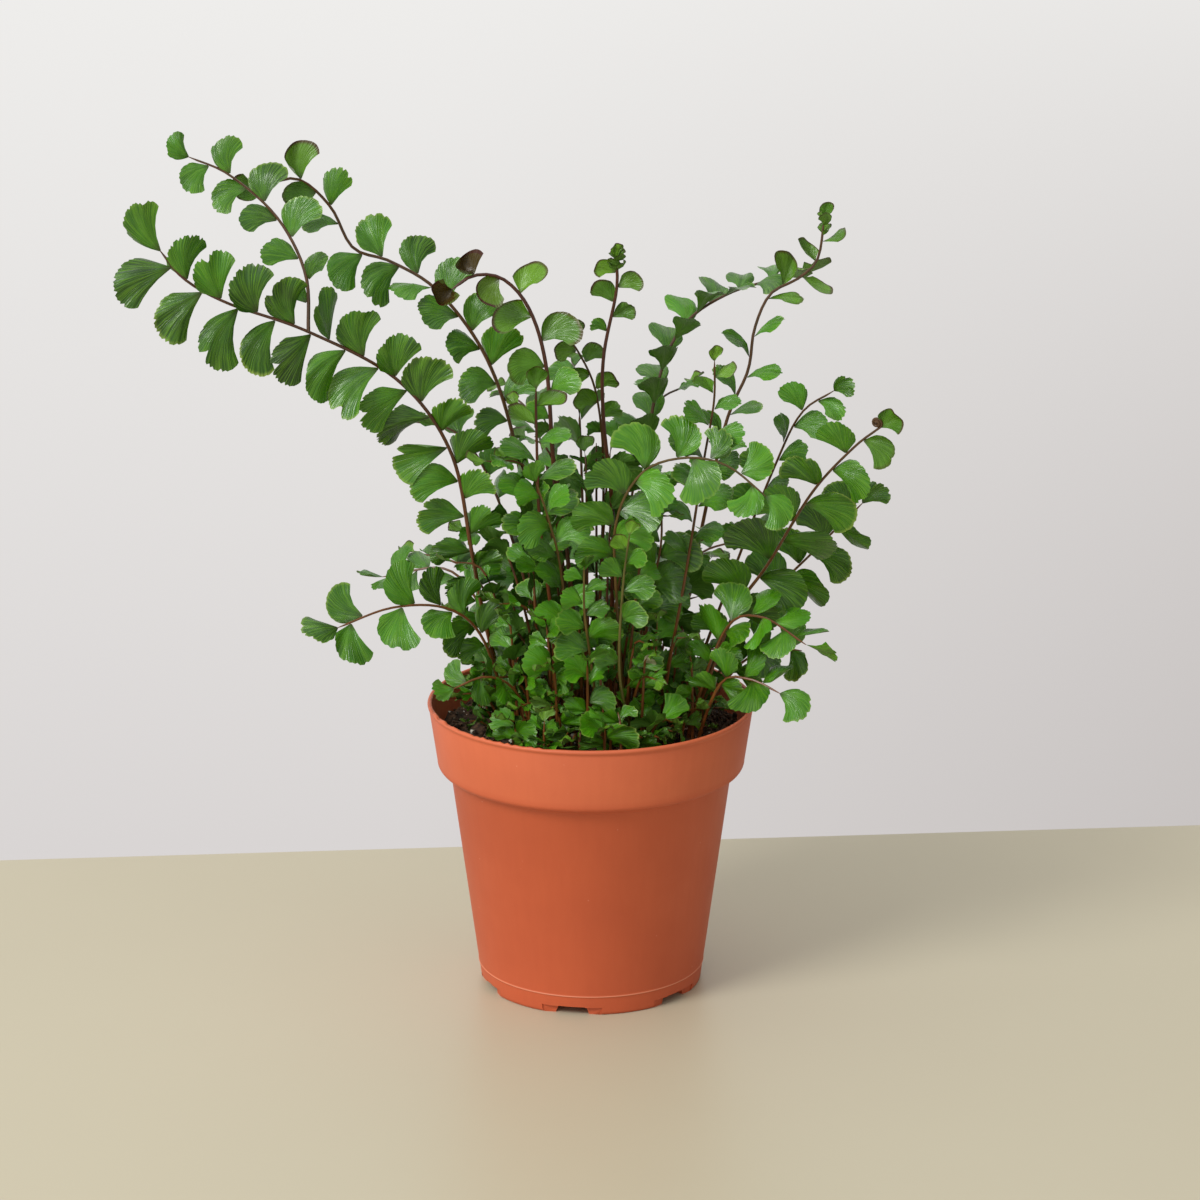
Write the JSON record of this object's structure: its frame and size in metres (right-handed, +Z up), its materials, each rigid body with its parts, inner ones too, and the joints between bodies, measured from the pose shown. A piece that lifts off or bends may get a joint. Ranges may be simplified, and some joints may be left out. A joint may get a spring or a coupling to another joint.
{
  "type": "potted fern",
  "caption": "Young mahogany fern with arching fronds of alternate fan-shaped leaflets, growing in a round tapered plastic nursery pot with a rim band.",
  "frame": {"origin": "middle of the pot's base, on the surface that the pot stands on", "axes": "+Z up along the pot's axis; -Y towards the viewer in the picture; +X to the viewer's right"},
  "size_m": [0.2418, 0.1351, 0.2764],
  "materials": {
    "pot": "satin",
    "soil": "matte",
    "fern": "satin"
  },
  "bodies": {
    "root": {"frond_back_high_1": "fern", "frond_back_high_2": "fern", "frond_back_high_3": "fern", "frond_back_high_4": "fern", "frond_back_low_1": "fern", "frond_back_low_2": "fern", "frond_back_low_3": "fern", "frond_back_low_4": "fern", "frond_back_low_5": "fern", "frond_bud_spire": "fern", "frond_curled_tip": "fern", "frond_front_arch": "fern", "frond_front_pale": "fern", "frond_front_rim": "fern", "frond_front_small": "fern", "frond_front_spire": "fern", "frond_front_tuft_1": "fern", "frond_front_tuft_2": "fern", "frond_front_tuft_3": "fern", "frond_front_tuft_4": "fern", "frond_front_tuft_5": "fern", "frond_front_yellow": "fern", "frond_left_arch": "fern", "frond_left_low": "fern", "frond_left_shelf": "fern", "frond_left_soil": "fern", "frond_middle_shade": "fern", "frond_right_arch": "fern", "frond_right_behind": "fern", "frond_right_fan": "fern", "frond_right_inner": "fern", "frond_right_low": "fern", "frond_right_rim": "fern", "frond_right_tall": "fern", "frond_short_red": "fern", "frond_skirt_1": "fern", "frond_skirt_10": "fern", "frond_skirt_11": "fern", "frond_skirt_12": "fern", "frond_skirt_2": "fern", "frond_skirt_3": "fern", "frond_skirt_4": "fern", "frond_skirt_5": "fern", "frond_skirt_6": "fern", "frond_skirt_7": "fern", "frond_skirt_8": "fern", "frond_skirt_9": "fern", "frond_tall_red": "fern", "frond_upper_left": "fern", "pot": "pot", "soil": "soil"}
  },
  "joints": []
}
